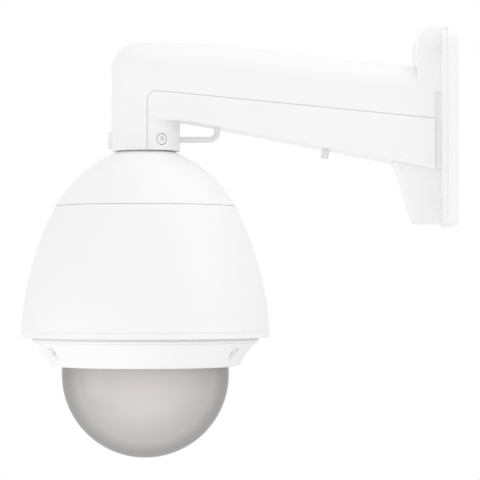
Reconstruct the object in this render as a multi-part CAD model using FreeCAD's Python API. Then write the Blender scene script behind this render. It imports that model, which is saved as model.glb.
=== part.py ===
import FreeCAD, Part
import math
import os

# Pendant dome camera on a cast wall arm, in millimetres.
# The origin is the centre of the wall plate's back face. +Z is up, +X points into the wall,
# and the head hangs at the arm's far end, on the -X side.

# Wall plate, with the column over the arm and the gusset under it
PLATE_WIDTH = 97.0
PLATE_HEIGHT = 178.5
PLATE_RIM = 9.3
PLATE_PAD = 5.2
PLATE_STEP = 2.0
PLATE_CORNER = 17.0
PLATE_FOOT_CORNER = 6.0
PLATE_BACK_ROUND = 9.0
COLUMN_DEPTH = 35.8
COLUMN_CORNER = 13.0
GUSSET_DEPTH = 51.3
GUSSET_FOOT = 37.0
GUSSET_FOOT_RISE = 2.2
GUSSET_ROOT = 14.5
GUSSET_KNEE_DROP = 10.0
GUSSET_KNEE = 12.0
GUSSET_CORNER = 5.0
BOLT_HOLE_R = 4.25
BOLT_SPACING_Y = 77.0
BOLT_SPACING_Z = 140.0
BOLT_SINK_R = 6.8
BOLT_SINK_DEPTH = 1.5

# Arm: a hollow beam that ends in a round elbow over the head
ARM_REACH = 281.3
ARM_WIDTH = 62.0
ARM_WALL = 4.5
ARM_TOP = 77.6
ARM_BOTTOM = 5.8
ARM_TOP_ROUND = 24.0
ARM_BOTTOM_ROUND = 4.0
INNER_ROUND = 1.0
HOLLOW_RISE = 10.0
ARM_END_GAP = 5.1
SHOULDER_INSET = 1.6
TOP_BEND = 48.0
TOP_FALL = 6.4
TOP_BEND_R = 250.0
UNDER_BEND = 38.6
UNDER_FALL = 11.15
UNDER_BEND_R = 60.0
ELBOW_DROP = 26.8
ELBOW_EDGE = 0.8

# Lower cover, parted from the arm along a sloping line that turns down beside the head's axis
PARTING_DROP = 44.3
PARTING_FALL = 5.67
PARTING_SIDE = 2.3
PARTING_CORNER = 9.0
PARTING_GROOVE = 0.6
PARTING_DEPTH = 1.0
COVER_PROUD = 0.4
COVER_GAP = 0.3
COVER_POST_R = 5.5
COVER_SCREW_REACH = 164.4
COVER_SCREW_R = 2.5
COVER_HEAD_R = 3.4
COVER_HEAD = 8.0
COVER_SCREW_GRIP = 18.0

# Loop for a safety line, and the screws that lock the neck
LOOP_ROD_R = 2.7
LOOP_REACH = 65.2
LOOP_DROP = 16.2
LOOP_BEND_R = 7.0
LOOP_SEAT = 3.0
LOCK_RISE = 9.7
LOCK_SCREW_R = 3.0
LOCK_HEAD_R = 4.6
LOCK_HEAD = 3.0
LOCK_SINK_R = 5.3
LOCK_BOSS_R = 7.8
LOCK_BOSS_PROUD = 3.4
LOCK_FIRST = 180.0
LOCK_COUNT = 3
HOLE_GAP = 0.1

# Neck: a threaded pipe stub with a collar under the cap and a flange on the can
NECK_R = 23.9
NECK_BORE_R = 19.5
NECK_GAP = 0.3
NECK_TOP_GAP = 1.5
NECK_COLLAR_LIP = 1.4
NECK_COLLAR_R = 30.0
NECK_COLLAR_SLOPE = 3.2
NECK_COLLAR = 5.0
NECK_FLANGE_EDGE = 5.0
NECK_FLANGE = 4.0
NECK_FILLET = 2.0
NECK_LENGTH = 33.0
NECK_SCREW_PITCH = 33.0
NECK_SCREW_R = 2.0
NECK_SCREW_HEAD_R = 3.6
NECK_SCREW_HEAD = 3.0
NECK_SCREW_COUNT = 4

# Bell outline of cap and sun shield: a flank arc and a shoulder arc that meet in line
CAP_GAP = 0.5
CAP_LIP_R = 26.0
CAP_DROP = 49.5
SHELL = 2.6
SHIELD_OVERHANG = 7.5
FLANK_R = 285.0
FLANK_DRAFT = 2.1
SHOULDER_R = 113.0
SHOULDER_TURN = 25.6
SEAM_GAP = 0.3
SPIGOT = 2.2
SPIGOT_GAP = 0.3
SPIGOT_RISE = 4.0
SPIGOT_ROOT = 5.0
HANGER_R = 60.0
HANGER = 2.5
HANGER_SCREW_INSET = 6.0
LIP_HEIGHT = 5.5
LIP_GROOVE = 1.0
LIP_GROOVE_DEPTH = 0.5
SHIELD_SCREW_R = 2.0
SHIELD_SCREW_HEAD_R = 3.4
SHIELD_SCREW_HEAD = 2.2
SHIELD_SCREW_COUNT = 4

# Inner can that carries everything in the head
CAN_WALL = 3.0
CAN_SCREW_INSET = 3.0
CAN_SHOULDER_GAP = 2.4
CAN_TOP_EDGE = 6.0
CAN_TOP_SLOPE = 8.0
CAN_WAIST = 4.0
CAN_WAIST_DROP = 32.5
CAN_FULL_DROP = 52.5
CAN_FLANGE_EDGE = 7.0
CAN_FLANGE = 4.0
CAN_BELOW_SHIELD = 3.0

# Trim ring, bubble and what clamps them
RING_HEIGHT = 22.5
RING_BULGE_INSET = 10.4
RING_BULGE_DROP = 11.0
RING_FOOT = 10.0
RING_RIM = 1.6
RING_RIM_GAP = 1.4
RING_RIM_RISE = 6.0
RING_FLARE_RISE = 2.4
GASKET = 2.0
GASKET_GAP = 0.1
GASKET_WIDTH = 9.3
LIP_DROP = 1.0
LIP_WALL = 3.6
BUBBLE_R = 76.0
BUBBLE_WALL = 3.0
BUBBLE_GAP = 0.5
BUBBLE_FLANGE = 2.5
BUBBLE_FLANGE_WIDTH = 7.5
BUBBLE_SEAT_RISE = 9.5
BUBBLE_SEAL = 1.0
SPHERE_DROP = 7.9
CLAMP = 2.5
CLAMP_INSET = 1.0
CLAMP_WIDTH = 13.5
CLAMP_POCKET = 1.0
CLAMP_SCREW_R = 1.4
CLAMP_SCREW_HEAD_R = 2.4
CLAMP_SCREW_HEAD = 1.8
CLAMP_SCREW_LENGTH = 7.0
CLAMP_SCREW_COUNT = 6
CAPTIVE_INSET = 4.5
CAPTIVE_R = 2.9
CAPTIVE_HEAD_R = 4.2
CAPTIVE_HEAD = 4.0
CAPTIVE_POCKET_R = 5.0
CAPTIVE_WEB = 5.5
CAPTIVE_TIP = 6.0
CAPTIVE_FIRST = 90.0
CAPTIVE_COUNT = 3

# Base plate, board and slip ring
BASE = 3.0
BASE_RIM_GAP = 5.0
BASE_DROP = 36.5
PILLAR_R = 4.0
PILLAR_COUNT = 4
POST_R = 3.0
POST_PITCH = 44.0
POST_LENGTH = 26.4
BOARD_R = 50.0
BOARD = 1.6
CAPACITOR_R = 6.0
CAPACITOR_HEIGHT = 12.0
CAPACITOR_PITCH = 33.0
CAPACITOR_ANGLES = (-40, 0, 40)
TERMINAL_LENGTH = 30.0
TERMINAL_DEPTH = 10.0
TERMINAL_HEIGHT = 11.0
TERMINAL_WAYS = 5
TERMINAL_ENTRY = 3.6
TERMINAL_ENTRY_RISE = 2.75
SLIP_R = 10.5
SLIP_FLANGE_R = 15.0
SLIP_FLANGE = 2.5
SLIP_RISE = 12.0
SLIP_DROP = 28.0

# Pan drive
BEARING_R = 30.0
BEARING_BORE_R = 22.0
BEARING = 6.8
BEARING_FIT = 0.05
BASE_BOSS_R = 34.0
BASE_BOSS = 7.0
HUB_BORE_R = 12.5
HUB_RISE = 8.5
TURNTABLE_GAP = 2.0
TURNTABLE_R = 40.0
TURNTABLE = 6.0
BELT = 1.5
BELT_GAP = 0.3
BELT_MARGIN = 0.7
PAN_MOTOR_INSET = 20.0
PAN_MOTOR_R = 16.0
PAN_MOTOR_HEIGHT = 20.0
PAN_PULLEY_R = 8.0
PAN_SHAFT_R = 2.0
MOTOR_BORE = 8.0
MOTOR_ROUND = 1.5
SHAFT_END_GAP = 1.0
RUNNING_FIT = 0.06

# Tilt yoke and drive
YOKE_MARGIN = 3.0
YOKE_SHEET = 3.0
YOKE_WIDTH = 32.0
YOKE_BEND_R = 5.0
YOKE_END_R = 15.8
BUSH_R = 7.0
BUSH_PROUD = 1.0
AXLE_R = 4.0
AXLE_PROUD = 2.0
TILT_PULLEY_R = 20.0
TILT_PULLEY_INSET = 11.0
TILT_PULLEY_WIDTH = 5.0
TILT_MOTOR_RISE = 62.0
TILT_MOTOR_R = 11.0
TILT_MOTOR_LENGTH = 19.0
TILT_MOTOR_PULLEY_R = 6.0
TILT_SHAFT_R = 1.5
SHAFT_HOLE_GAP = 1.5

# Camera
BLOCK_BACK = 34.0
BLOCK_FRONT = 40.0
BLOCK_HALF_WIDTH = 31.0
BLOCK_HALF_HEIGHT = 27.0
BLOCK_ROUND = 4.0
CRADLE_SHEET = 1.9
CRADLE_HALF_LENGTH = 18.0
CRADLE_RISE = 18.0
CRADLE_GAP = 0.3
LENS_R = 24.0
LENS_CLEARANCE = 6.15
LENS_RIM_R = 25.0
LENS_RIM = 4.0
LENS_MOUTH_R = 20.0
LENS_MOUTH_DEPTH = 8.0
GLASS_R = 19.7
GLASS = 3.0
GLASS_CROWN = 2.0

# Fan and heater that keep the bubble clear
FAN_INSET = 21.0
FAN_SIDE = 34.0
FAN_HEIGHT = 10.0
FAN_CORNER = 2.0
FAN_BORE_R = 15.3
FAN_HUB_R = 6.0
FAN_HUB = 2.5
FAN_SPOKES = 3
FAN_SPOKE = 2.0
FAN_SPOKE_ROOT = 0.5
FAN_GAP = 0.6
FAN_BLADES = 7
FAN_BLADE = 1.0
FAN_BLADE_ROOT = 1.0
FAN_BLADE_CHORD = 12.6
FAN_BLADE_PITCH = 35.0
FAN_PIN_R = 1.2
FAN_PIN_GAP = 0.5
HEATER_LENGTH = 24.0
HEATER_WIDTH = 34.0
HEATER_HEIGHT = 9.0
HEATER_BASE = 2.5
HEATER_FIN = 1.6
HEATER_FINS = 6

UP = FreeCAD.Vector(0, 0, 1)
DOME_X = -ARM_REACH
NECK_FLANGE_R = NECK_SCREW_PITCH + NECK_FLANGE_EDGE
CAN_TOP_R = NECK_FLANGE_R + CAN_TOP_EDGE
CAN_SHOULDER_INNER_R = CAN_TOP_R + CAN_TOP_SLOPE
CLAMP_R = BUBBLE_R - CLAMP_INSET + CLAMP_WIDTH
CAPTIVE_PITCH = CLAMP_R + CAPTIVE_INSET
CAN_R = CAPTIVE_PITCH - CAN_SCREW_INSET
CAN_WAIST_R = CAN_R - CAN_WAIST
CAN_FLANGE_R = CAPTIVE_PITCH + CAN_FLANGE_EDGE
RING_TOP_R = CAN_FLANGE_R + RING_RIM_GAP + RING_RIM
RING_BULGE_R = RING_TOP_R - RING_BULGE_INSET
RING_FOOT_R = BUBBLE_R + RING_FOOT
BELL_R = RING_TOP_R + SHIELD_OVERHANG + SHELL
HANGER_SCREW_PITCH = HANGER_R + HANGER_SCREW_INSET
BASE_R = CAN_WAIST_R - CAN_WALL - BASE_RIM_GAP
PAN_MOTOR_OFFSET = BASE_R - PAN_MOTOR_INSET
FAN_OFFSET = BASE_R - FAN_INSET
YOKE_HALF = BUBBLE_R - CLAMP_INSET - YOKE_MARGIN - TILT_MOTOR_LENGTH
AXLE_END = YOKE_HALF + AXLE_PROUD
TILT_PULLEY_START = YOKE_HALF - TILT_PULLEY_INSET
LENS_REACH = BUBBLE_R - BUBBLE_WALL - LENS_CLEARANCE
LENS_LENGTH = math.sqrt(LENS_REACH ** 2 - LENS_RIM_R ** 2) - BLOCK_FRONT
PLATE_FRONT = -PLATE_RIM - PLATE_PAD
ARM_END = PLATE_FRONT - ARM_END_GAP
ELBOW_BOTTOM = ARM_BOTTOM - ELBOW_DROP
CAP_TOP = ELBOW_BOTTOM - CAP_GAP
SEAM = CAP_TOP - CAP_DROP
HANGER_TOP = SEAM + SPIGOT_RISE
CAN_SHOULDER = HANGER_TOP - HANGER


def vector(x, y, z):
    return FreeCAD.Vector(x, y, z)


def on_side(u, v):
    """Point of the arm's side view: u along X, v along Z."""
    return vector(u, 0, v)


def on_wall(u, v):
    """Point of the wall face: u along Y, v along Z."""
    return vector(0, u, v)


def on_head(r, z):
    """Point of the head's half section: r from the head's axis, z along Z."""
    return vector(DOME_X + r, 0, z)


def at_head(angle, r, z):
    """Point at an angle in degrees round the head's axis."""
    turn = math.radians(angle)
    return vector(DOME_X + r * math.cos(turn), r * math.sin(turn), z)


def round_angles(count, first=0):
    """Evenly spaced angles in degrees."""
    return [first + 360 * number / count for number in range(count)]


def rounded_face(corners, place):
    """Flat face with corners (u, v, radius); a radius of 0 leaves the corner sharp."""
    edges = []
    ends = []
    for number, (u, v, radius) in enumerate(corners):
        here = place(u, v)
        before = place(*corners[number - 1][:2]) - here
        after = place(*corners[(number + 1) % len(corners)][:2]) - here
        before.normalize()
        after.normalize()
        half = before.getAngle(after) / 2
        back = radius / math.tan(half)
        start = here + before * back
        end = here + after * back
        ends.append((start, end))
        if radius > 0:
            middle = before + after
            middle.normalize()
            crown = here + middle * (radius / math.sin(half) - radius)
            edges.append(Part.Arc(start, crown, end).toShape())
    for number, (start, end) in enumerate(ends):
        following = ends[(number + 1) % len(ends)][0]
        if end.distanceToPoint(following) > 1e-6:
            edges.append(Part.makeLine(end, following))
    return Part.Face(Part.Wire(Part.__sortEdges__(edges)))


def sharp(points):
    """The points as corners with no rounding."""
    return [(u, v, 0) for u, v in points]


def slab(face, half_width):
    """Solid that reaches half_width each side of the part's middle plane."""
    solid = face.extrude(vector(0, 2 * half_width, 0))
    solid.translate(vector(0, -half_width, 0))
    return solid


def turned(face):
    """Solid of revolution of a half section about the head's axis."""
    return face.revolve(vector(DOME_X, 0, 0), UP, 360)


def ring(r_in, r_out, z_low, z_high):
    """Plain ring or tube about the head's axis."""
    corners = [(r_in, z_low), (r_out, z_low), (r_out, z_high), (r_in, z_high)]
    return turned(rounded_face(sharp(corners), on_head))


def block(x0, x1, y0, y1, z0, z1):
    return Part.makeBox(x1 - x0, y1 - y0, z1 - z0, vector(x0, y0, z0))


def rod(radius, start, end):
    """Round bar from one point to another."""
    along = end - start
    return Part.makeCylinder(radius, along.Length, start, along)


def upright(radius, place, z_low, z_high):
    """Vertical round bar through a point between two heights."""
    return rod(radius, vector(place.x, place.y, z_low), vector(place.x, place.y, z_high))


def across(radius, place, y_start, y_end):
    """Round bar along Y through a point."""
    return rod(radius, vector(place.x, y_start, place.z), vector(place.x, y_end, place.z))


def round_edges(solid, radius, wanted):
    """Fillet the edges for which wanted(edge) is true."""
    return solid.makeFillet(radius, [edge for edge in solid.Edges if wanted(edge)])


def set_of(solids):
    """Like pieces kept together as separate solids."""
    return Part.makeCompound(solids)


# The arm

def fall(angle, run):
    """Drop of a slope of angle degrees over a run; nothing before it starts."""
    return max(0, run) * math.tan(math.radians(angle))


def beam_top(x, inset=0):
    return ARM_TOP - inset - fall(TOP_FALL, x - DOME_X - TOP_BEND)


def beam_underside(x, inset=0):
    return ARM_BOTTOM + inset - fall(UNDER_FALL, x - DOME_X - UNDER_BEND)


def beam(inset, proud, end_x):
    """Body of the beam from the head's axis to end_x, moved inwards by inset, long edges rounded."""
    corners = [
        (DOME_X, beam_top(DOME_X, inset), 0),
        (DOME_X + TOP_BEND, beam_top(DOME_X, inset), TOP_BEND_R),
        (end_x, beam_top(end_x, inset), 0),
        (end_x, beam_underside(end_x, inset), 0),
        (DOME_X + UNDER_BEND, beam_underside(DOME_X, inset), UNDER_BEND_R),
        (DOME_X, beam_underside(DOME_X, inset), 0),
    ]
    solid = slab(rounded_face(corners, on_side), ARM_WIDTH / 2 - inset + proud)

    def long_edge(edge):
        return edge.BoundBox.YLength < 0.01 and edge.BoundBox.XLength > 0.5

    def upper(edge):
        middle = edge.BoundBox.Center
        return middle.z > (beam_top(middle.x) + beam_underside(middle.x)) / 2

    solid = round_edges(solid, ARM_TOP_ROUND - inset, lambda edge: long_edge(edge) and upper(edge))
    low_round = max(INNER_ROUND, ARM_BOTTOM_ROUND - inset)
    return round_edges(solid, low_round, lambda edge: long_edge(edge) and not upper(edge))


def arm_form(inset, proud, end_x, bottom, bottom_round):
    """Beam with half a round barrel at its end, and the barrel's lower half under it."""
    r = ARM_WIDTH / 2 - inset + proud
    top = ARM_TOP - inset
    corners = [(0, bottom, 0), (r, bottom, bottom_round), (r, top, ARM_TOP_ROUND - inset), (0, top, 0)]
    barrel = turned(rounded_face(corners, on_head))
    far = ARM_WIDTH
    low = ARM_BOTTOM + 2 * HOLLOW_RISE
    left_half = barrel.common(block(DOME_X - far, DOME_X, -far, far, bottom - 1, ARM_TOP + 1))
    right_low = barrel.common(block(DOME_X, DOME_X + far, -far, far, bottom - 1, low))
    return beam(inset, proud, end_x).fuse([left_half, right_low]).removeSplitter()


def cover_zone(gap):
    """Everything below the parting line, less a gap."""
    side = DOME_X + PARTING_SIDE + gap
    top = ARM_TOP - PARTING_DROP - gap
    end = PLATE_FRONT
    deep = -PLATE_HEIGHT
    corners = [
        (side, deep, 0),
        (side, top, PARTING_CORNER),
        (end, top - fall(PARTING_FALL, end - side), 0),
        (end, deep, 0),
    ]
    return slab(rounded_face(corners, on_side), ARM_WIDTH)


def column_top(inset):
    """Height of the column's outside, or of the roof of its hollow, which clears the rounded back edge."""
    if inset > 0:
        return PLATE_HEIGHT / 2 - PLATE_BACK_ROUND - inset / 2
    return PLATE_HEIGHT / 2 - inset


def column_corners(inset, back):
    """Side view of the column over the arm and the gusset under it, moved inwards by inset."""
    top = column_top(inset)
    foot = -PLATE_HEIGHT / 2 + GUSSET_FOOT_RISE + inset
    front = -COLUMN_DEPTH + inset
    knee = -GUSSET_DEPTH + inset
    under = beam_underside(knee)
    return [
        (back, top, 0),
        (front, top, COLUMN_CORNER - inset),
        (front, under + GUSSET_ROOT, 0),
        (knee - ARM_WALL, under + GUSSET_ROOT, 0),
        (knee - ARM_WALL, under + inset, 0),
        (knee, under - GUSSET_KNEE_DROP, GUSSET_KNEE),
        (-GUSSET_FOOT + inset, foot, max(0.5, GUSSET_CORNER - inset)),
        (back, foot, 0),
    ]


def column_half():
    """Half width of the column, which stands between the cover's side walls."""
    return ARM_WIDTH / 2 - ARM_WALL - COVER_GAP


def plate_step(x_low, x_high, inset):
    """One step of the flange, with rounded corners."""
    half_w = PLATE_WIDTH / 2 - inset
    half_h = PLATE_HEIGHT / 2 - inset
    top = PLATE_CORNER - inset
    foot = PLATE_FOOT_CORNER - inset
    corners = [(-half_w, -half_h, foot), (half_w, -half_h, foot), (half_w, half_h, top), (-half_w, half_h, top)]
    face = rounded_face(corners, on_wall)
    solid = face.extrude(vector(x_high - x_low, 0, 0))
    solid.translate(vector(x_low, 0, 0))
    return solid


def crown(inset, back):
    """Head of the column above the arm, as wide as the arm, moved inwards by inset."""
    front = -COLUMN_DEPTH + inset
    low = beam_top(front) - ARM_TOP_ROUND
    top = column_top(inset)
    corners = [(back, low, 0), (back, top, 0), (front, top, COLUMN_CORNER - inset), (front, low, 0)]
    return slab(rounded_face(corners, on_side), ARM_WIDTH / 2 - inset)


def back_rounding():
    """Room that the plate keeps to, with its upper edge rounded towards the wall."""
    top = PLATE_HEIGHT / 2
    corners = [(-PLATE_HEIGHT, -top, 0), (0, -top, 0), (0, top, PLATE_BACK_ROUND), (-PLATE_HEIGHT, top, 0)]
    return slab(rounded_face(corners, on_side), PLATE_WIDTH)


def shoulder():
    """Stretch between the arm's end and the pad, just inside the arm's outline."""
    side = PLATE_WIDTH
    stretch = block(ARM_END - ARM_WALL, PLATE_FRONT + 1, -side, side, -side, side)
    cover_end = block(ARM_END - ARM_REACH, ARM_END + COVER_GAP, -side, side, -side, side)
    return beam(SHOULDER_INSET, 0, PLATE_FRONT + 1).common(stretch).cut(cover_zone(0).common(cover_end))


def lock_angles():
    return round_angles(LOCK_COUNT, LOCK_FIRST)


def lock_height():
    return ELBOW_BOTTOM + LOCK_RISE


def lock_sinks():
    """Holes and sunk seats for the screws that lock the neck."""
    z = lock_height()
    outer = ARM_WIDTH / 2 + LOCK_BOSS_PROUD + 1
    sinks = []
    for angle in lock_angles():
        seat = lock_seat(angle)
        sinks.append(rod(LOCK_SCREW_R + HOLE_GAP, at_head(angle, NECK_BORE_R, z), at_head(angle, outer, z)))
        sinks.append(rod(LOCK_SINK_R, at_head(angle, seat, z), at_head(angle, outer, z)))
    return sinks


def lock_seat(angle):
    """Radius at which a lock screw's head sits; the first screw stands on a boss."""
    face = ARM_WIDTH / 2
    if angle == LOCK_FIRST:
        face = face + LOCK_BOSS_PROUD
    return face - LOCK_HEAD - HOLE_GAP


def lock_boss():
    """Domed boss round the first lock screw."""
    z = lock_height()
    start = ARM_WIDTH / 2 - ARM_WALL
    end = ARM_WIDTH / 2 + LOCK_BOSS_PROUD
    boss = rod(LOCK_BOSS_R, at_head(LOCK_FIRST, start, z), at_head(LOCK_FIRST, end, z))

    def outer_edge(edge):
        return abs(edge.BoundBox.Center.x - DOME_X + end) < 0.01

    return round_edges(boss, LOCK_BOSS_PROUD / 2, outer_edge)


def under_normal():
    """Downward direction square to the arm's sloping underside."""
    slope = math.radians(UNDER_FALL)
    return vector(-math.sin(slope), 0, -math.cos(slope))


def cover_screw_seat():
    """Point on the cover's underside where the screw's head sits."""
    x = DOME_X + COVER_SCREW_REACH
    return vector(x, 0, beam_underside(x) - COVER_PROUD)


def neck_room():
    """Bore of the elbow for the neck, and the hollow over it."""
    top = ARM_BOTTOM + HOLLOW_RISE
    place = vector(DOME_X, 0, 0)
    return upright(NECK_R + NECK_GAP, place, ELBOW_BOTTOM - 1, top + 1)


def arm_hollow():
    """Cable way inside arm and elbow."""
    return arm_form(ARM_WALL, 0, ARM_END - ARM_WALL, ARM_BOTTOM + HOLLOW_RISE, 0)


def cover_post():
    """Post from the arm's roof to the cover's floor, for the cover's screw."""
    seat = cover_screw_seat()
    start = seat - under_normal() * (ARM_WALL + COVER_PROUD + COVER_GAP)
    roof = beam_top(seat.x) - ARM_WALL / 2
    return rod(COVER_POST_R, start, start - under_normal() * ((roof - start.z) / -under_normal().z))


def make_wall_arm():
    """Casting: wall plate, column and gusset, and the arm down to the parting line."""
    form = arm_form(0, 0, ARM_END, ELBOW_BOTTOM, ELBOW_EDGE)
    upper = form.cut(cover_zone(0))
    column = slab(rounded_face(column_corners(0, 0), on_side), column_half())
    rim = plate_step(-PLATE_RIM, 0, 0)
    pad = plate_step(PLATE_FRONT, -PLATE_RIM, PLATE_STEP)
    plate = column.fuse([rim, pad, crown(0, 0)]).common(back_rounding())
    solid = upper.fuse([plate, shoulder(), lock_boss()])
    pocket = slab(rounded_face(column_corners(ARM_WALL, 1), on_side), column_half() - ARM_WALL)
    solid = solid.cut([arm_hollow(), pocket, crown(ARM_WALL, 1), neck_room()])
    seat = cover_screw_seat()
    thread_end = seat - under_normal() * (ARM_WALL + COVER_SCREW_GRIP)
    solid = solid.fuse(cover_post()).cut(rod(COVER_SCREW_R + HOLE_GAP, seat, thread_end))
    holes = lock_sinks()
    for y in (-BOLT_SPACING_Y / 2, BOLT_SPACING_Y / 2):
        for z in (-BOLT_SPACING_Z / 2, BOLT_SPACING_Z / 2):
            holes.append(rod(BOLT_HOLE_R, vector(PLATE_FRONT - 1, y, z), vector(1, y, z)))
            sink_end = PLATE_FRONT + BOLT_SINK_DEPTH
            holes.append(rod(BOLT_SINK_R, vector(PLATE_FRONT - 1, y, z), vector(sink_end, y, z)))
    return solid.cut(holes).removeSplitter()


def make_arm_cover():
    """Trough under the arm: proud skin below a shadow groove, and a lip that meets the arm."""
    skin = arm_form(0, COVER_PROUD, ARM_END, ELBOW_BOTTOM, ELBOW_EDGE)
    lip = arm_form(PARTING_DEPTH, 0, ARM_END, ELBOW_BOTTOM, 0)
    solid = skin.common(cover_zone(PARTING_GROOVE)).fuse(lip.common(cover_zone(0)))
    solid = solid.cut([arm_hollow(), neck_room()])
    column = slab(rounded_face(column_corners(-COVER_GAP, 1), on_side), column_half() + COVER_GAP)
    seat = cover_screw_seat()
    inside = seat - under_normal() * (ARM_WALL + COVER_PROUD + 1)
    holes = lock_sinks()
    holes.append(column)
    holes.append(rod(COVER_SCREW_R + HOLE_GAP, seat + under_normal(), inside))
    for start, end in loop_seats():
        holes.append(rod(LOOP_ROD_R + HOLE_GAP, start, end))
    return solid.cut(holes).removeSplitter()


def loop_points():
    """Ends and corner of the loop's middle line."""
    low = ARM_BOTTOM - LOOP_DROP
    start = vector(DOME_X + ARM_WIDTH / 2 + COVER_PROUD - LOOP_SEAT, 0, low)
    corner = vector(DOME_X + LOOP_REACH, 0, low)
    end = vector(corner.x, 0, beam_underside(corner.x) - COVER_PROUD + LOOP_SEAT)
    return start, corner, end


def loop_seats():
    """Straight stretches of the loop that stand in the cover's walls."""
    start, corner, end = loop_points()
    return [
        (start - vector(HOLE_GAP, 0, 0), start + vector(2 * LOOP_SEAT, 0, 0)),
        (end + vector(0, 0, HOLE_GAP), end - vector(0, 0, 2 * LOOP_SEAT)),
    ]


def make_lanyard_loop():
    """Bent rod from the elbow's side to the arm's underside."""
    start, corner, end = loop_points()
    before = corner - vector(LOOP_BEND_R, 0, 0)
    after = corner + vector(0, 0, LOOP_BEND_R)
    middle = corner + vector(-LOOP_BEND_R, 0, LOOP_BEND_R)
    slant = LOOP_BEND_R / math.sqrt(2)
    crown = middle + vector(slant, 0, -slant)
    path = Part.Wire([
        Part.makeLine(start, before),
        Part.Arc(before, crown, after).toShape(),
        Part.makeLine(after, end),
    ])
    section = Part.Face(Part.Wire(Part.makeCircle(LOOP_ROD_R, start, vector(1, 0, 0))))
    return path.makePipe(section)


def screw(radius, head_r, head, place, inward, grip):
    """Screw with a hexagon socket: its head's seat is at place and its shank runs inward."""
    socket = Part.makeCylinder(head_r / 2, head / 2, place - inward * head, inward)
    cap = Part.makeCylinder(head_r, head, place - inward * head, inward)
    shank = Part.makeCylinder(radius, grip, place, inward)
    return cap.fuse(shank).cut(socket).removeSplitter()


def make_cover_screw():
    """Long-headed screw under the arm."""
    inward = under_normal() * -1
    return screw(COVER_SCREW_R, COVER_HEAD_R, COVER_HEAD, cover_screw_seat(), inward, COVER_SCREW_GRIP)


def make_neck_lock_screws():
    """Screws round the elbow whose tips meet the neck."""
    z = lock_height()
    screws = []
    for angle in lock_angles():
        seat = at_head(angle, lock_seat(angle) + HOLE_GAP / 2, z)
        inward = at_head(angle, 0, z) - seat
        inward.normalize()
        grip = lock_seat(angle) - NECK_R
        screws.append(screw(LOCK_SCREW_R, LOCK_HEAD_R, LOCK_HEAD, seat, inward, grip))
    return set_of(screws)


# The head's shells

def bell_centres():
    """Centres (r, z) of the flank and shoulder arcs, with z from the shield's lower edge."""
    draft = math.radians(FLANK_DRAFT)
    turn = math.radians(SHOULDER_TURN)
    flank = (BELL_R - FLANK_R * math.cos(draft), -FLANK_R * math.sin(draft))
    reach = FLANK_R - SHOULDER_R
    return flank, (flank[0] + reach * math.cos(turn), flank[1] + reach * math.sin(turn))


def bell_height():
    """Height of the bell from its lower edge to the cap's lip."""
    shoulder = bell_centres()[1]
    return shoulder[1] + math.sqrt(SHOULDER_R ** 2 - (CAP_LIP_R - shoulder[0]) ** 2)


SHIELD_BOTTOM = CAP_TOP - bell_height()
FLANGE_BOTTOM = SHIELD_BOTTOM - CAN_BELOW_SHIELD
RING_BOTTOM = FLANGE_BOTTOM - RING_HEIGHT
TILT_Z = RING_BOTTOM - SPHERE_DROP
BASE_TOP = CAN_SHOULDER - CAN_WALL - BASE_DROP
BASE_BOTTOM = BASE_TOP - BASE
TURNTABLE_TOP = BASE_BOTTOM - BASE_BOSS - TURNTABLE_GAP
TURNTABLE_BOTTOM = TURNTABLE_TOP - TURNTABLE
PAN_MOTOR_X = DOME_X + PAN_MOTOR_OFFSET
FAN_X = DOME_X - FAN_OFFSET
TILT_MOTOR_Z = TILT_Z + TILT_MOTOR_RISE


def bell_join(inset):
    """Height where flank and shoulder meet on the outline moved inwards by inset."""
    flank = bell_centres()[0]
    return SHIELD_BOTTOM + flank[1] + (FLANK_R - inset) * math.sin(math.radians(SHOULDER_TURN))


def bell_arc(z, inset):
    """Centre and radius of the arc that holds the outline at height z."""
    flank, shoulder = bell_centres()
    if z < bell_join(inset):
        return flank[0], SHIELD_BOTTOM + flank[1], FLANK_R - inset
    return shoulder[0], SHIELD_BOTTOM + shoulder[1], SHOULDER_R - inset


def bell_r(z, inset):
    """Radius of the outline at height z, moved inwards by inset."""
    centre_r, centre_z, radius = bell_arc(z, inset)
    return centre_r + math.sqrt(radius ** 2 - (z - centre_z) ** 2)


def can_shoulder_r():
    """Outer radius of the can's shoulder, clear of the shield's spigot."""
    return bell_r(CAN_SHOULDER, SHELL + SPIGOT_GAP + SPIGOT) - CAN_SHOULDER_GAP


def bell_run(inset, z_start, z_end):
    """Stretches of the outline between two heights, each as start, middle and end points."""
    join = bell_join(inset)
    stops = [z_start, z_end]
    if min(stops) < join < max(stops):
        stops = [z_start, join, z_end]
    runs = []
    for start, end in zip(stops[:-1], stops[1:]):
        centre_r, centre_z, radius = bell_arc((start + end) / 2, inset)
        angles = [math.asin((z - centre_z) / radius) for z in (start, end)]
        angles.insert(1, sum(angles) / 2)
        run = [on_head(centre_r + radius * math.cos(a), centre_z + radius * math.sin(a)) for a in angles]
        runs.append(run)
    return runs


def chain_face(runs):
    """Closed face through single points and arcs in order, joined by straight lines."""
    edges = []
    for number, run in enumerate(runs):
        if len(run) == 3:
            edges.append(Part.Arc(*run).toShape())
        following = runs[(number + 1) % len(runs)][0]
        if run[-1].distanceToPoint(following) > 1e-6:
            edges.append(Part.makeLine(run[-1], following))
    return Part.Face(Part.Wire(edges))


def make_top_cap():
    """Upper shell of the head, open round the neck."""
    hole = NECK_R + NECK_GAP
    under = CAP_TOP - SHELL
    runs = bell_run(0, SEAM, CAP_TOP)
    runs.append([on_head(hole, CAP_TOP)])
    runs.append([on_head(hole, under)])
    runs.extend(bell_run(SHELL, under, SEAM))
    return turned(chain_face(runs))


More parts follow.
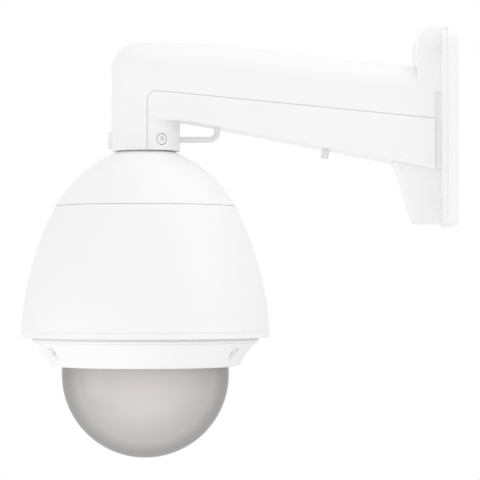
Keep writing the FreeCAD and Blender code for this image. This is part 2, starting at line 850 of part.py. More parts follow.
def make_sun_shield():
    """Bell shell with a spigot inside the cap and a hanger flange that sits on the can."""
    top = SEAM - SEAM_GAP
    outside = SHELL + SPIGOT_GAP
    inside = outside + SPIGOT
    runs = bell_run(0, SHIELD_BOTTOM, top)
    runs.extend(bell_run(outside, top, HANGER_TOP))
    runs.append([on_head(HANGER_R, HANGER_TOP)])
    runs.append([on_head(HANGER_R, CAN_SHOULDER)])
    runs.extend(bell_run(inside, CAN_SHOULDER, top - SPIGOT_ROOT))
    runs.extend(bell_run(SHELL, top - SPIGOT_ROOT, SHIELD_BOTTOM))
    shield = turned(chain_face(runs))
    line = SHIELD_BOTTOM + LIP_HEIGHT
    groove_r = bell_r(line, 0) - LIP_GROOVE_DEPTH
    groove = ring(groove_r, BELL_R + 1, line - LIP_GROOVE / 2, line + LIP_GROOVE / 2)
    holes = [groove]
    for angle in hanger_angles():
        place = at_head(angle, HANGER_SCREW_PITCH, 0)
        holes.append(upright(SHIELD_SCREW_R + HOLE_GAP, place, CAN_SHOULDER - 1, HANGER_TOP + 1))
    return shield.cut(holes)


def hanger_angles():
    return round_angles(SHIELD_SCREW_COUNT, 180 / SHIELD_SCREW_COUNT)


def make_shield_screws():
    """Screws through the hanger flange into the can's shoulder."""
    screws = []
    for angle in hanger_angles():
        place = at_head(angle, HANGER_SCREW_PITCH, HANGER_TOP)
        grip = HANGER + CAN_WALL
        screws.append(screw(SHIELD_SCREW_R, SHIELD_SCREW_HEAD_R, SHIELD_SCREW_HEAD, place, UP * -1, grip))
    return set_of(screws)


def neck_flange_bottom():
    return CAP_TOP - SHELL - NECK_LENGTH


def neck_screw_angles():
    return round_angles(NECK_SCREW_COUNT, 180 / NECK_SCREW_COUNT)


def make_neck_tube():
    """Pipe stub with the cap's collar and the flange on the can."""
    collar_top = CAP_TOP - SHELL
    foot = neck_flange_bottom()
    top = ARM_BOTTOM + HOLLOW_RISE - NECK_TOP_GAP
    corners = [
        (NECK_BORE_R, foot, 0),
        (NECK_FLANGE_R, foot, 0),
        (NECK_FLANGE_R, foot + NECK_FLANGE, 0),
        (NECK_R, foot + NECK_FLANGE, NECK_FILLET),
        (NECK_R, collar_top - NECK_COLLAR, 0),
        (NECK_COLLAR_R, collar_top - NECK_COLLAR, 0),
        (NECK_COLLAR_R, collar_top - NECK_COLLAR_SLOPE, 0),
        (NECK_R + NECK_COLLAR_LIP, collar_top, 0),
        (NECK_R, collar_top, 0),
        (NECK_R, top, 0),
        (NECK_BORE_R, top, 0),
    ]
    neck = turned(rounded_face(corners, on_head))
    holes = []
    for angle in neck_screw_angles():
        place = at_head(angle, NECK_SCREW_PITCH, 0)
        holes.append(upright(NECK_SCREW_R + HOLE_GAP, place, foot - 1, foot + NECK_FLANGE + 1))
    return neck.cut(holes)


def make_neck_screws():
    """Screws through the neck's flange into the can's top."""
    screws = []
    for angle in neck_screw_angles():
        place = at_head(angle, NECK_SCREW_PITCH, neck_flange_bottom() + NECK_FLANGE)
        grip = NECK_FLANGE + CAN_WALL
        screws.append(screw(NECK_SCREW_R, NECK_SCREW_HEAD_R, NECK_SCREW_HEAD, place, UP * -1, grip))
    return set_of(screws)


def moved_inwards(points, distance):
    """Open line of points (r, z), moved by distance to the right of its direction."""
    normals = []
    for (r0, z0), (r1, z1) in zip(points[:-1], points[1:]):
        length = math.hypot(r1 - r0, z1 - z0)
        normals.append(((z1 - z0) / length, (r0 - r1) / length))
    moved = []
    for number, (r, z) in enumerate(points):
        a = normals[max(0, number - 1)]
        b = normals[min(number, len(normals) - 1)]
        scale = distance / (1 + a[0] * b[0] + a[1] * b[1])
        moved.append((r + (a[0] + b[0]) * scale, z + (a[1] + b[1]) * scale))
    return moved


def captive_angles():
    return round_angles(CAPTIVE_COUNT, CAPTIVE_FIRST)


def captive_places():
    return [at_head(angle, CAPTIVE_PITCH, 0) for angle in captive_angles()]


def make_housing_can():
    """Cast can: round top, shoulder for the shield's hanger, flank and a screwed flange."""
    top = neck_flange_bottom()
    outside = [
        (NECK_BORE_R, top),
        (CAN_TOP_R, top),
        (CAN_SHOULDER_INNER_R, CAN_SHOULDER),
        (can_shoulder_r(), CAN_SHOULDER),
        (CAN_WAIST_R, CAN_SHOULDER - CAN_WAIST_DROP),
        (CAN_R, CAN_SHOULDER - CAN_FULL_DROP),
        (CAN_R, FLANGE_BOTTOM),
    ]
    inside = moved_inwards(outside, CAN_WALL)
    flange = [(CAN_FLANGE_R, FLANGE_BOTTOM + CAN_FLANGE), (CAN_FLANGE_R, FLANGE_BOTTOM)]
    outline = outside[:-1] + [(CAN_R, FLANGE_BOTTOM + CAN_FLANGE)] + flange + inside[::-1]
    can = turned(rounded_face(sharp(outline), on_head))
    holes = []
    flange_top = FLANGE_BOTTOM + CAN_FLANGE
    for place in captive_places():
        holes.append(upright(CAPTIVE_R + HOLE_GAP, place, FLANGE_BOTTOM - 1, flange_top + 1))
    under_shoulder = CAN_SHOULDER - CAN_WALL
    for angle in hanger_angles():
        place = at_head(angle, HANGER_SCREW_PITCH, 0)
        holes.append(upright(SHIELD_SCREW_R + HOLE_GAP, place, under_shoulder - 1, CAN_SHOULDER + 1))
    for angle in neck_screw_angles():
        place = at_head(angle, NECK_SCREW_PITCH, 0)
        holes.append(upright(NECK_SCREW_R + HOLE_GAP, place, top - CAN_WALL - 1, top + 1))
    return can.cut(holes)


# Trim ring and bubble

def make_can_gasket():
    """Flat seal between the can's flange and the trim ring."""
    r_in = CAN_FLANGE_R - GASKET_WIDTH
    seal = ring(r_in, CAN_FLANGE_R - HOLE_GAP, FLANGE_BOTTOM - GASKET, FLANGE_BOTTOM - GASKET_GAP)
    holes = []
    for place in captive_places():
        holes.append(upright(CAPTIVE_R + HOLE_GAP, place, FLANGE_BOTTOM - GASKET - 1, FLANGE_BOTTOM + 1))
    return seal.cut(holes)


def bubble_seat():
    """Height of the ledge in the trim ring under the bubble's seal."""
    return RING_BOTTOM + BUBBLE_SEAT_RISE


def bubble_flange_r():
    return BUBBLE_R + BUBBLE_FLANGE_WIDTH


def clamp_bottom():
    return bubble_seat() + BUBBLE_SEAL + BUBBLE_FLANGE


def captive_seat():
    return FLANGE_BOTTOM - GASKET - CAPTIVE_WEB


def clamp_angles():
    return round_angles(CLAMP_SCREW_COUNT, 180 / CLAMP_SCREW_COUNT)


def clamp_screw_pitch():
    return (bubble_flange_r() + CLAMP_R) / 2 + HOLE_GAP


def make_trim_ring():
    """Flared ring with a hollow flank, a ledge for the bubble and pockets for its screws."""
    seat = FLANGE_BOTTOM - GASKET
    rim_top = seat + RING_RIM_RISE
    flare_top = seat + RING_FLARE_RISE
    mouth = BUBBLE_R + BUBBLE_GAP
    foot = RING_BOTTOM - LIP_DROP
    ledge = bubble_flange_r() + BUBBLE_GAP
    pocket = CLAMP_R + CLAMP_POCKET
    flank = [
        on_head(RING_TOP_R, flare_top),
        on_head(RING_BULGE_R, flare_top - RING_BULGE_DROP),
        on_head(RING_FOOT_R, RING_BOTTOM),
    ]
    runs = [flank]
    for r, z in [
        (mouth + LIP_WALL, RING_BOTTOM),
        (mouth + LIP_WALL, foot),
        (mouth, foot),
        (mouth, bubble_seat()),
        (ledge, bubble_seat()),
        (ledge, clamp_bottom()),
        (pocket, clamp_bottom()),
        (pocket, seat),
        (RING_TOP_R - RING_RIM, seat),
        (RING_TOP_R - RING_RIM, rim_top),
        (RING_TOP_R, rim_top),
    ]:
        runs.append([on_head(r, z)])
    body = turned(chain_face(runs))
    holes = []
    for place in captive_places():
        holes.append(upright(CAPTIVE_R + HOLE_GAP, place, RING_BOTTOM, seat + 1))
        holes.append(upright(CAPTIVE_POCKET_R, place, foot, captive_seat()))
    for angle in clamp_angles():
        place = at_head(angle, clamp_screw_pitch(), 0)
        low = clamp_bottom() + CLAMP - CLAMP_SCREW_LENGTH - HOLE_GAP
        holes.append(upright(CLAMP_SCREW_R + HOLE_GAP, place, low, clamp_bottom() + 1))
    return body.cut(holes)


def make_captive_screws():
    """Screws that hold the trim ring to the can's flange."""
    screws = []
    for place in captive_places():
        seat = vector(place.x, place.y, captive_seat())
        grip = FLANGE_BOTTOM + CAN_FLANGE + CAPTIVE_TIP - captive_seat()
        screws.append(screw(CAPTIVE_R, CAPTIVE_HEAD_R, CAPTIVE_HEAD, seat, UP, grip))
    return set_of(screws)


def make_bubble_gasket():
    """Seal between the bubble's flange and the ledge."""
    return ring(BUBBLE_R + BUBBLE_GAP, bubble_flange_r(), bubble_seat(), bubble_seat() + BUBBLE_SEAL)


def make_dome_bubble():
    """Moulded bubble: flange, short cylinder and half a sphere, one wall all round."""
    low = bubble_seat() + BUBBLE_SEAL
    top = low + BUBBLE_FLANGE
    inner = BUBBLE_R - BUBBLE_WALL

    def quarter(radius, start_angle, end_angle):
        angles = [start_angle, (start_angle + end_angle) / 2, end_angle]
        turns = [math.radians(a) for a in angles]
        return [on_head(radius * math.cos(a), TILT_Z + radius * math.sin(a)) for a in turns]

    runs = [
        quarter(BUBBLE_R, -90, 0),
        [on_head(BUBBLE_R, low)],
        [on_head(bubble_flange_r(), low)],
        [on_head(bubble_flange_r(), top)],
        [on_head(inner, top)],
        quarter(inner, 0, -90),
    ]
    return turned(chain_face(runs))


def make_bubble_clamp():
    """Ring screwed down over the bubble's flange."""
    low = clamp_bottom()
    clamp = ring(BUBBLE_R - CLAMP_INSET, CLAMP_R, low, low + CLAMP)
    holes = []
    for angle in clamp_angles():
        place = at_head(angle, clamp_screw_pitch(), 0)
        holes.append(upright(CLAMP_SCREW_R + HOLE_GAP, place, low - 1, low + CLAMP + 1))
    return clamp.cut(holes)


def make_clamp_screws():
    screws = []
    for angle in clamp_angles():
        place = at_head(angle, clamp_screw_pitch(), clamp_bottom() + CLAMP)
        grip = CLAMP_SCREW_LENGTH
        screws.append(screw(CLAMP_SCREW_R, CLAMP_SCREW_HEAD_R, CLAMP_SCREW_HEAD, place, UP * -1, grip))
    return set_of(screws)


# Base plate, board and slip ring

def pillar_places():
    pitch = (CAN_SHOULDER_INNER_R + can_shoulder_r()) / 2
    return [at_head(a, pitch, 0) for a in round_angles(PILLAR_COUNT, 180 / PILLAR_COUNT)]


def post_places():
    return [at_head(a, POST_PITCH, 0) for a in round_angles(PILLAR_COUNT, 180 / PILLAR_COUNT)]


def make_base_plate():
    """Plate across the can with a boss under it for the pan bearing."""
    plate = ring(SLIP_R + HOLE_GAP, BASE_R, BASE_BOTTOM, BASE_TOP)
    boss = ring(BEARING_R + BEARING_FIT, BASE_BOSS_R, BASE_BOTTOM - BASE_BOSS, BASE_BOTTOM)
    motor = vector(PAN_MOTOR_X, 0, 0)
    motor_hole = upright(PAN_SHAFT_R + SHAFT_HOLE_GAP, motor, BASE_BOTTOM - 1, BASE_TOP + 1)
    fan_hole = upright(FAN_BORE_R, vector(FAN_X, 0, 0), BASE_BOTTOM - 1, BASE_TOP + 1)
    return plate.fuse(boss).cut([motor_hole, fan_hole])


def make_base_pillars():
    """Pillars from the can's shoulder down to the base plate."""
    return set_of([upright(PILLAR_R, place, BASE_TOP, BASE_TOP + BASE_DROP) for place in pillar_places()])


def make_board_posts():
    """Posts that carry the board over the base plate."""
    return set_of([upright(POST_R, place, BASE_TOP, BASE_TOP + POST_LENGTH) for place in post_places()])


def board_top():
    return BASE_TOP + POST_LENGTH + BOARD


def make_main_board():
    """Round circuit board."""
    return upright(BOARD_R, vector(DOME_X, 0, 0), board_top() - BOARD, board_top())


def make_board_capacitors():
    """Upright capacitors on the board."""
    top = board_top() + CAPACITOR_HEIGHT
    cans = []
    for angle in CAPACITOR_ANGLES:
        cans.append(upright(CAPACITOR_R, at_head(angle, CAPACITOR_PITCH, 0), board_top(), top))
    return set_of(cans)


def make_terminal_block():
    """Row of wire entries that faces the neck."""
    x_low = DOME_X - CAPACITOR_PITCH - TERMINAL_DEPTH / 2
    half = TERMINAL_LENGTH / 2
    body = block(x_low, x_low + TERMINAL_DEPTH, -half, half, board_top(), board_top() + TERMINAL_HEIGHT)
    pitch = TERMINAL_LENGTH / TERMINAL_WAYS
    low = board_top() + TERMINAL_ENTRY_RISE
    x_face = x_low + TERMINAL_DEPTH
    entries = []
    for number in range(TERMINAL_WAYS):
        y = -half + pitch * number + (pitch - TERMINAL_ENTRY) / 2
        high = low + TERMINAL_ENTRY
        entries.append(block(x_face - TERMINAL_ENTRY, x_face + 1, y, y + TERMINAL_ENTRY, low, high))
    return body.cut(entries)


def make_slip_ring():
    """Fixed half of the slip ring: a flanged drum that hangs through the pan hub."""
    corners = [
        (0, BASE_TOP - SLIP_DROP),
        (SLIP_R, BASE_TOP - SLIP_DROP),
        (SLIP_R, BASE_TOP),
        (SLIP_FLANGE_R, BASE_TOP),
        (SLIP_FLANGE_R, BASE_TOP + SLIP_FLANGE),
        (SLIP_R, BASE_TOP + SLIP_FLANGE),
        (SLIP_R, BASE_TOP + SLIP_RISE),
        (0, BASE_TOP + SLIP_RISE),
    ]
    return turned(rounded_face(sharp(corners), on_head))


# Pan drive

def make_pan_bearing():
    """Thin sealed bearing pressed into the base plate's boss."""
    top = BASE_BOTTOM
    return ring(BEARING_BORE_R, BEARING_R, top - BEARING, top)


def make_turntable():
    """Hub that runs in the bearing, with a disc below it that is grooved for the belt."""
    hub_r = BEARING_BORE_R - BEARING_FIT
    groove = TURNTABLE_R
    rim = groove + BELT
    low = TURNTABLE_BOTTOM
    top = TURNTABLE_TOP
    corners = [
        (HUB_BORE_R, low),
        (groove, low),
        (groove, top - BELT_MARGIN),
        (rim, top - BELT_MARGIN),
        (rim, top),
        (hub_r, top),
        (hub_r, top + HUB_RISE),
        (HUB_BORE_R, top + HUB_RISE),
    ]
    return turned(rounded_face(sharp(corners), on_head))


def belt_outline(place, radius_a, radius_b, reach):
    """Closed belt line round two pulleys; place maps (along, aside) to a point."""
    lean = math.acos((radius_a - radius_b) / reach)
    a_along = radius_a * math.cos(lean)
    a_aside = radius_a * math.sin(lean)
    b_along = reach + radius_b * math.cos(lean)
    b_aside = radius_b * math.sin(lean)
    runs = [
        [place(a_along, a_aside), place(-radius_a, 0), place(a_along, -a_aside)],
        [place(b_along, -b_aside), place(reach + radius_b, 0), place(b_along, b_aside)],
    ]
    return chain_face(runs)


def belt(place, radius_a, radius_b, reach, width):
    """Flat belt that clears its pulleys by the belt gap."""
    inner = belt_outline(place, radius_a + BELT_GAP, radius_b + BELT_GAP, reach)
    outer = belt_outline(place, radius_a + BELT_GAP + BELT, radius_b + BELT_GAP + BELT, reach)
    return outer.cut(inner).extrude(width)


def make_pan_belt():
    """Belt from the pan motor's pulley to the turntable."""
    low = TURNTABLE_BOTTOM + BELT_MARGIN
    high = TURNTABLE_TOP - BELT_MARGIN - BELT_GAP

    def place(along, aside):
        return vector(DOME_X + along, aside, low)

    return belt(place, TURNTABLE_R, PAN_PULLEY_R, PAN_MOTOR_OFFSET, vector(0, 0, high - low))


def make_pan_motor():
    """Stepper motor that stands on the base plate."""
    place = vector(PAN_MOTOR_X, 0, 0)
    body = upright(PAN_MOTOR_R, place, BASE_TOP, BASE_TOP + PAN_MOTOR_HEIGHT)
    body = round_edges(body, MOTOR_ROUND, lambda edge: edge.BoundBox.ZMin > BASE_TOP + 1)
    return body.cut(upright(PAN_SHAFT_R + RUNNING_FIT, place, BASE_TOP - 1, BASE_TOP + MOTOR_BORE))


def make_pan_motor_shaft():
    place = vector(PAN_MOTOR_X, 0, 0)
    return upright(PAN_SHAFT_R, place, TURNTABLE_BOTTOM - BELT_MARGIN, BASE_TOP + MOTOR_BORE - SHAFT_END_GAP)


def make_pan_motor_pulley():
    """Small pulley on the pan motor's shaft."""
    place = vector(PAN_MOTOR_X, 0, 0)
    pulley = upright(PAN_PULLEY_R, place, TURNTABLE_BOTTOM, TURNTABLE_TOP)
    return pulley.cut(upright(PAN_SHAFT_R, place, TURNTABLE_BOTTOM - 1, TURNTABLE_TOP + 1))


# Tilt yoke and drive

def make_tilt_yoke():
    """Bent sheet fork under the turntable, its arms down each side of the camera."""
    top = TURNTABLE_BOTTOM
    half = YOKE_WIDTH / 2
    low = TILT_Z - half
    inner = YOKE_HALF - YOKE_SHEET
    bend = YOKE_BEND_R
    corners = [
        (-YOKE_HALF, low, 0),
        (-YOKE_HALF, top, bend),
        (YOKE_HALF, top, bend),
        (YOKE_HALF, low, 0),
        (inner, low, 0),
        (inner, top - YOKE_SHEET, bend - YOKE_SHEET),
        (-inner, top - YOKE_SHEET, bend - YOKE_SHEET),
        (-inner, low, 0),
    ]
    fork = rounded_face(corners, on_wall).extrude(vector(YOKE_WIDTH, 0, 0))
    fork.translate(vector(DOME_X - half, 0, 0))
    outline = [
        (DOME_X - half, low, YOKE_END_R),
        (DOME_X + half, low, YOKE_END_R),
        (DOME_X + half, top, 0),
        (DOME_X - half, top, 0),
    ]
    fork = fork.common(slab(rounded_face(outline, on_side), YOKE_HALF + 1))
    axle = vector(DOME_X, 0, TILT_Z)
    motor = vector(DOME_X, 0, TILT_MOTOR_Z)
    holes = [
        across(BUSH_R, axle, -YOKE_HALF - 1, YOKE_HALF + 1),
        across(TILT_SHAFT_R + SHAFT_HOLE_GAP, motor, inner - 1, YOKE_HALF + 1),
        upright(HUB_BORE_R, axle, top - YOKE_SHEET - 1, top + 1),
    ]
    return fork.cut(holes)


def make_tilt_bushes():
    """Plain bushes in the yoke's arms."""
    axle = vector(DOME_X, 0, TILT_Z)
    bushes = []
    for side in (-1, 1):
        start = side * (YOKE_HALF - YOKE_SHEET - BUSH_PROUD)
        end = side * (YOKE_HALF + BUSH_PROUD)
        bore = across(AXLE_R + BEARING_FIT, axle, start - side, end + side)
        bushes.append(across(BUSH_R, axle, start, end).cut(bore))
    return set_of(bushes)


def cradle_half():
    return BLOCK_HALF_WIDTH + CRADLE_GAP + CRADLE_SHEET


def make_tilt_axles():
    """Stub axles from the cradle's sides out through the bushes."""
    axle = vector(DOME_X, 0, TILT_Z)
    return set_of([across(AXLE_R, axle, side * cradle_half(), side * AXLE_END) for side in (-1, 1)])


def tilt_pulley_end():
    return TILT_PULLEY_START + TILT_PULLEY_WIDTH


def make_tilt_pulley():
    """Pulley on one axle."""
    axle = vector(DOME_X, 0, TILT_Z)
    pulley = across(TILT_PULLEY_R, axle, TILT_PULLEY_START, tilt_pulley_end())
    return pulley.cut(across(AXLE_R, axle, TILT_PULLEY_START - 1, tilt_pulley_end() + 1))


def make_tilt_belt():
    """Belt from the tilt motor's pulley down to the axle's pulley."""
    start = TILT_PULLEY_START + BELT_MARGIN

    def place(along, aside):
        return vector(DOME_X + aside, start, TILT_Z + along)

    width = vector(0, TILT_PULLEY_WIDTH - 2 * BELT_MARGIN, 0)
    return belt(place, TILT_PULLEY_R, TILT_MOTOR_PULLEY_R, TILT_MOTOR_RISE, width)


def make_tilt_motor():
    """Small stepper motor on the outer face of the yoke's arm."""
    place = vector(DOME_X, 0, TILT_MOTOR_Z)
    body = across(TILT_MOTOR_R, place, YOKE_HALF, YOKE_HALF + TILT_MOTOR_LENGTH)
    return body.cut(across(TILT_SHAFT_R + RUNNING_FIT, place, YOKE_HALF - 1, YOKE_HALF + MOTOR_BORE))


def make_tilt_motor_shaft():
    place = vector(DOME_X, 0, TILT_MOTOR_Z)
    end = YOKE_HALF + MOTOR_BORE - SHAFT_END_GAP
    return across(TILT_SHAFT_R, place, TILT_PULLEY_START - BELT_MARGIN, end)


def make_tilt_motor_pulley():
    """Small pulley on the tilt motor's shaft."""
    place = vector(DOME_X, 0, TILT_MOTOR_Z)
    pulley = across(TILT_MOTOR_PULLEY_R, place, TILT_PULLEY_START, tilt_pulley_end())
    return pulley.cut(across(TILT_SHAFT_R, place, TILT_PULLEY_START - 1, tilt_pulley_end() + 1))


# Camera

def make_tilt_cradle():
    """Bent sheet tray that holds the camera between the axles."""
    inner = BLOCK_HALF_WIDTH + CRADLE_GAP
    outer = cradle_half()
    top = TILT_Z + CRADLE_RISE
    floor = TILT_Z - BLOCK_HALF_HEIGHT
    low = floor - CRADLE_SHEET
    corners = [
        (-outer, low),
        (outer, low),
        (outer, top),
        (inner, top),
        (inner, floor),
        (-inner, floor),
        (-inner, top),
        (-outer, top),
    ]
    tray = rounded_face(sharp(corners), on_wall).extrude(vector(2 * CRADLE_HALF_LENGTH, 0, 0))
    tray.translate(vector(DOME_X - CRADLE_HALF_LENGTH, 0, 0))
    return tray


def make_camera_block():
    """Camera body; its long edges are rounded."""
    body = block(
        DOME_X - BLOCK_FRONT, DOME_X + BLOCK_BACK,
        -BLOCK_HALF_WIDTH, BLOCK_HALF_WIDTH,
        TILT_Z - BLOCK_HALF_HEIGHT, TILT_Z + BLOCK_HALF_HEIGHT,
    )
    return round_edges(body, BLOCK_ROUND, lambda edge: edge.BoundBox.XLength > BLOCK_BACK)


def on_lens(along, r):
    """Point of the lens's half section: along the line of sight from the tilt axis, r from it."""
    return vector(DOME_X - along, 0, TILT_Z + r)


def make_lens_barrel():
    """Stepped barrel with a sunk mouth."""
    start = BLOCK_FRONT
    end = start + LENS_LENGTH
    corners = [
        (start, 0),
        (start, LENS_R),
        (end - LENS_RIM, LENS_R),
        (end - LENS_RIM, LENS_RIM_R),
        (end, LENS_RIM_R),
        (end, LENS_MOUTH_R),
        (end - LENS_MOUTH_DEPTH, LENS_MOUTH_R),
        (end - LENS_MOUTH_DEPTH, 0),
    ]
    face = rounded_face(sharp(corners), on_lens)
    return face.revolve(vector(DOME_X, 0, TILT_Z), vector(1, 0, 0), 360)


def make_lens_glass():
    """Front lens, crowned outwards, on the floor of the barrel's mouth."""
    start = BLOCK_FRONT + LENS_LENGTH - LENS_MOUTH_DEPTH
    crown_r = (GLASS_R ** 2 + GLASS_CROWN ** 2) / (2 * GLASS_CROWN)
    half = GLASS_R / 2
    sag = crown_r - math.sqrt(crown_r ** 2 - half ** 2)
    runs = [
        [on_lens(start, 0)],
        [on_lens(start, GLASS_R)],
        [on_lens(start + GLASS, GLASS_R), on_lens(start + GLASS + GLASS_CROWN - sag, half),
         on_lens(start + GLASS + GLASS_CROWN, 0)],
    ]
    return chain_face(runs).revolve(vector(DOME_X, 0, TILT_Z), vector(1, 0, 0), 360)


# Fan and heater

def make_fan_frame():
    """Square frame with spokes to the rotor's bearing."""
    half = FAN_SIDE / 2
    square = [(-half, -half), (half, -half), (half, half), (-half, half)]

    def place(u, v):
        return vector(FAN_X + u, v, BASE_TOP)

    frame = rounded_face([(u, v, FAN_CORNER) for u, v in square], place).extrude(vector(0, 0, FAN_HEIGHT))
    middle = vector(FAN_X, 0, BASE_TOP)
    frame = frame.cut(upright(FAN_BORE_R, middle, BASE_TOP - 1, BASE_TOP + FAN_HEIGHT + 1))
    hub_top = BASE_TOP + FAN_HUB
    spokes = [upright(FAN_HUB_R, middle, BASE_TOP, hub_top)]
    tip = FAN_X + FAN_BORE_R + FAN_SPOKE_ROOT
    for angle in round_angles(FAN_SPOKES):
        spoke = block(FAN_X, tip, -FAN_SPOKE / 2, FAN_SPOKE / 2, BASE_TOP, hub_top)
        spoke.rotate(middle, UP, angle)
        spokes.append(spoke)
    bore = upright(FAN_PIN_R + BEARING_FIT, middle, BASE_TOP - 1, hub_top + 1)
    return frame.fuse(spokes).cut(bore).removeSplitter()


def make_fan_rotor():
    """Hub with a pin in the frame, and pitched blades."""
    low = BASE_TOP + FAN_HUB + FAN_GAP
    high = BASE_TOP + FAN_HEIGHT - FAN_GAP
    middle = vector(FAN_X, 0, (low + high) / 2)
    tip = FAN_BORE_R - FAN_GAP
    room = upright(tip, middle, low, high)
    pin = upright(FAN_PIN_R, middle, BASE_TOP + FAN_PIN_GAP, low + FAN_GAP)
    pieces = [upright(FAN_HUB_R, middle, low, high), pin]
    start = FAN_X + FAN_HUB_R - FAN_BLADE_ROOT
    chord = FAN_BLADE_CHORD
    for angle in round_angles(FAN_BLADES):
        blade = block(start, FAN_X + tip + 1, -chord / 2, chord / 2, -FAN_BLADE / 2, FAN_BLADE / 2)
        blade.translate(vector(0, 0, middle.z))
        blade.rotate(middle, vector(1, 0, 0), FAN_BLADE_PITCH)
        blade.rotate(middle, UP, angle)
        pieces.append(blade.common(room))
    return pieces[0].fuse(pieces[1:]).removeSplitter()


def make_heater():
    """Finned heater under the fan's hole."""
    half_l = HEATER_LENGTH / 2
    half_w = HEATER_WIDTH / 2
    body = block(FAN_X - half_l, FAN_X + half_l, -half_w, half_w, BASE_BOTTOM - HEATER_HEIGHT, BASE_BOTTOM)
    pitch = (HEATER_WIDTH - HEATER_FIN) / (HEATER_FINS - 1)
    top = BASE_BOTTOM - HEATER_BASE
    low = BASE_BOTTOM - HEATER_HEIGHT - 1
    slots = []
    for number in range(HEATER_FINS - 1):
        y = -half_w + HEATER_FIN + number * pitch
        slots.append(block(FAN_X - half_l - 1, FAN_X + half_l + 1, y, y + pitch - HEATER_FIN, low, top))
    return body.cut(slots)


MAKERS = {
    "wall_arm": make_wall_arm,
    "arm_cover": make_arm_cover,
    "cover_screw": make_cover_screw,
    "lanyard_loop": make_lanyard_loop,
    "neck_lock_screws": make_neck_lock_screws,
    "neck_tube": make_neck_tube,
    "neck_screws": make_neck_screws,
    "top_cap": make_top_cap,
    "sun_shield": make_sun_shield,
    "shield_screws": make_shield_screws,
    "housing_can": make_housing_can,
    "base_plate": make_base_plate,
    "base_pillars": make_base_pillars,
    "board_posts": make_board_posts,
    "main_board": make_main_board,
    "board_capacitors": make_board_capacitors,
    "terminal_block": make_terminal_block,
    "slip_ring": make_slip_ring,
    "pan_bearing": make_pan_bearing,
    "pan_motor": make_pan_motor,
    "pan_belt": make_pan_belt,
    "fan_frame": make_fan_frame,
    "heater": make_heater,
    "fan_rotor": make_fan_rotor,
    "pan_motor_shaft": make_pan_motor_shaft,
    "pan_motor_pulley": make_pan_motor_pulley,
    "turntable": make_turntable,
    "tilt_yoke": make_tilt_yoke,
    "tilt_bushes": make_tilt_bushes,
    "tilt_motor": make_tilt_motor,
    "tilt_belt": make_tilt_belt,
    "tilt_motor_shaft": make_tilt_motor_shaft,
    "tilt_motor_pulley": make_tilt_motor_pulley,
    "tilt_axles": make_tilt_axles,
    "tilt_pulley": make_tilt_pulley,
    "tilt_cradle": make_tilt_cradle,
    "camera_block": make_camera_block,
    "lens_barrel": make_lens_barrel,
    "lens_glass": make_lens_glass,
    "can_gasket": make_can_gasket,
    "trim_ring": make_trim_ring,
    "captive_screws": make_captive_screws,
    "bubble_gasket": make_bubble_gasket,
    "dome_bubble": make_dome_bubble,
    "bubble_clamp": make_bubble_clamp,
    "clamp_screws": make_clamp_screws,
}

os.makedirs("parts", exist_ok=True)
for node, make in MAKERS.items():
    make().exportStep("parts/" + node + ".step")
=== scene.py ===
import math

import bpy
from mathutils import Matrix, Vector

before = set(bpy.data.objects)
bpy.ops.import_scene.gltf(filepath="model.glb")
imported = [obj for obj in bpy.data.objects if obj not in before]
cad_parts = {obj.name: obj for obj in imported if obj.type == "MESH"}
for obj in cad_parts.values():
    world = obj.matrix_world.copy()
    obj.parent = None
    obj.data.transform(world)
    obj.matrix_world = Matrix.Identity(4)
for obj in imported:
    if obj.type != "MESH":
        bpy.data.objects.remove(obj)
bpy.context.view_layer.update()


# Camera
# The product is shot from the side with a long lens, square to the arm. The eye is level with
# the middle of the shield, so that the seam bows up and the ring's lower edge bows down.
EYE = Vector((-0.1953, -2.2, -0.145))
TARGET = Vector((-0.1953, 0.0, -0.1017))
FIELD_WIDTH = 0.4372
SENSOR_MM = 36.0
FAR_CLIP = 50.0

camera_data = bpy.data.cameras.new("camera")
camera_data.sensor_width = SENSOR_MM
camera_data.lens = SENSOR_MM * (TARGET - EYE).length / FIELD_WIDTH
camera_data.clip_end = FAR_CLIP
camera = bpy.data.objects.new("camera", camera_data)
camera.location = EYE
camera.rotation_euler = (TARGET - EYE).to_track_quat("-Z", "Y").to_euler()
bpy.context.scene.collection.objects.link(camera)
bpy.context.scene.camera = camera
bpy.context.scene.view_settings.view_transform = "Standard"


# Light
# A white tent: even light from all round, with weak soft boxes on the left, on the right,
# overhead, low in front and behind, so that the white shells shade only by a few levels.
def linear(hex_colour):
    """sRGB hex to linear RGBA."""
    channels = [int(hex_colour[start:start + 2], 16) / 255 for start in (1, 3, 5)]
    return [c / 12.92 if c <= 0.04045 else ((c + 0.055) / 1.055) ** 2.4 for c in channels] + [1.0]


def add(tree, kind, inputs=None, **settings):
    """Adds a node; each input is given a plain value or another node's output."""
    node = tree.nodes.new(kind)
    for name, value in settings.items():
        setattr(node, name, value)
    for name, value in (inputs or {}).items():
        if isinstance(value, bpy.types.NodeSocket):
            tree.links.new(value, node.inputs[name])
        else:
            node.inputs[name].default_value = value
    return node


def seen_as_background(tree):
    """1 where the eye looks, also through glass or in a reflection; 0 for the lights' rays."""
    ray = add(tree, "ShaderNodeLightPath").outputs
    seen = add(tree, "ShaderNodeMath", {0: ray["Is Camera Ray"], 1: ray["Is Glossy Ray"]},
               operation="MAXIMUM")
    seen = add(tree, "ShaderNodeMath", {0: seen.outputs[0], 1: ray["Is Transmission Ray"]},
               operation="MAXIMUM")
    return seen.outputs[0]


WHITE = "#FFFFFF"
TENT_LIGHT = 0.785

